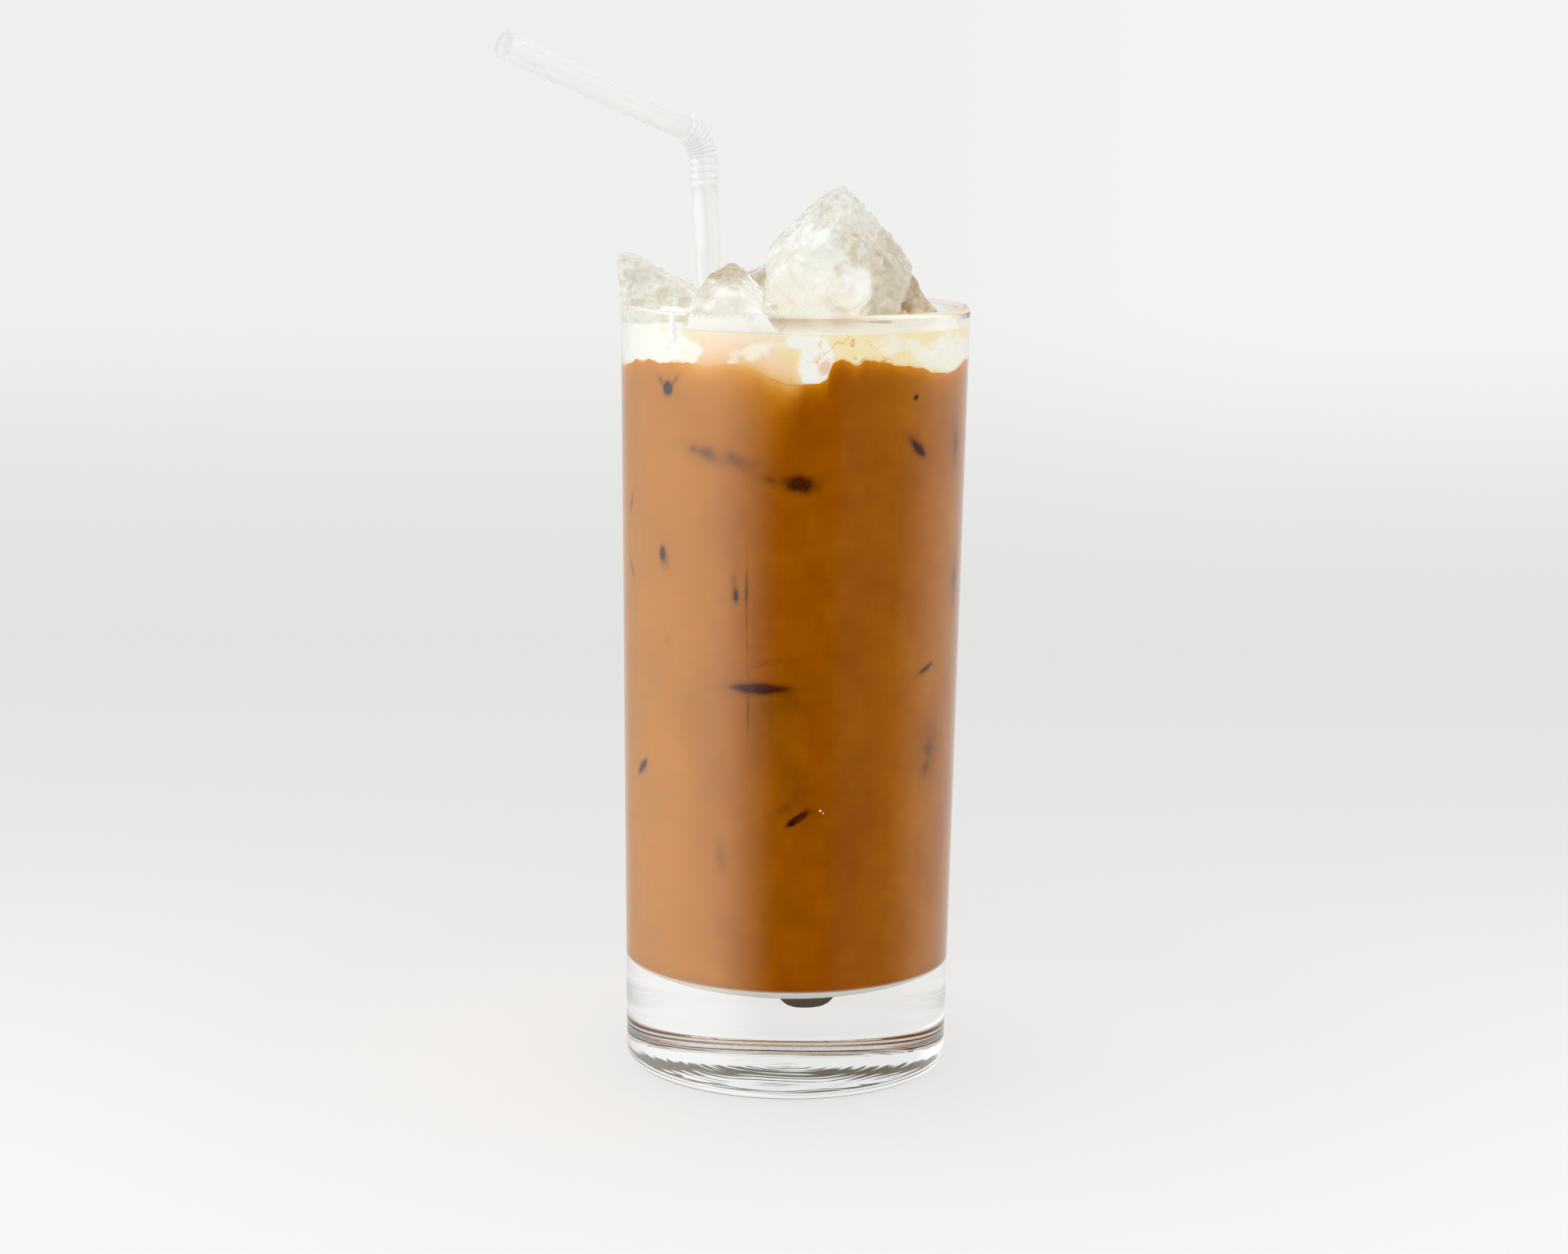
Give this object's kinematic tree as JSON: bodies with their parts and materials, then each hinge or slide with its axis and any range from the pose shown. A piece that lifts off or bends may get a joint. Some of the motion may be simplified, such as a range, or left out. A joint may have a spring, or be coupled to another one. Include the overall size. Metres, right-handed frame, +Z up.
{
  "type": "iced coffee in a glass",
  "caption": "Tall straight-sided glass of iced coffee under a thin layer of cream, with broken ice standing above the rim and a clear bendy straw.",
  "frame": {"origin": "middle of the ring that the glass stands on, on the surface under it", "axes": "+Z up along the glass, front towards -Y, the straw's arm leaning over the rim towards -X and -Y"},
  "size_m": [0.0903, 0.0672, 0.2006],
  "materials": {
    "glass": "clear polished soda glass",
    "coffee": "clear brown drink, wet gloss",
    "cream": "opaque cream, wet gloss, marbled with coffee",
    "ice": "wet melting ice, frosted and bubbled inside",
    "straw": "clear thin drawn plastic"
  },
  "bodies": {
    "root": {"glass": "glass", "coffee": "coffee", "cream": "cream", "ice_big": "ice", "ice_right": "ice", "ice_left": "ice", "ice_front": "ice", "ice_back": "ice", "straw": "straw"}
  },
  "joints": []
}
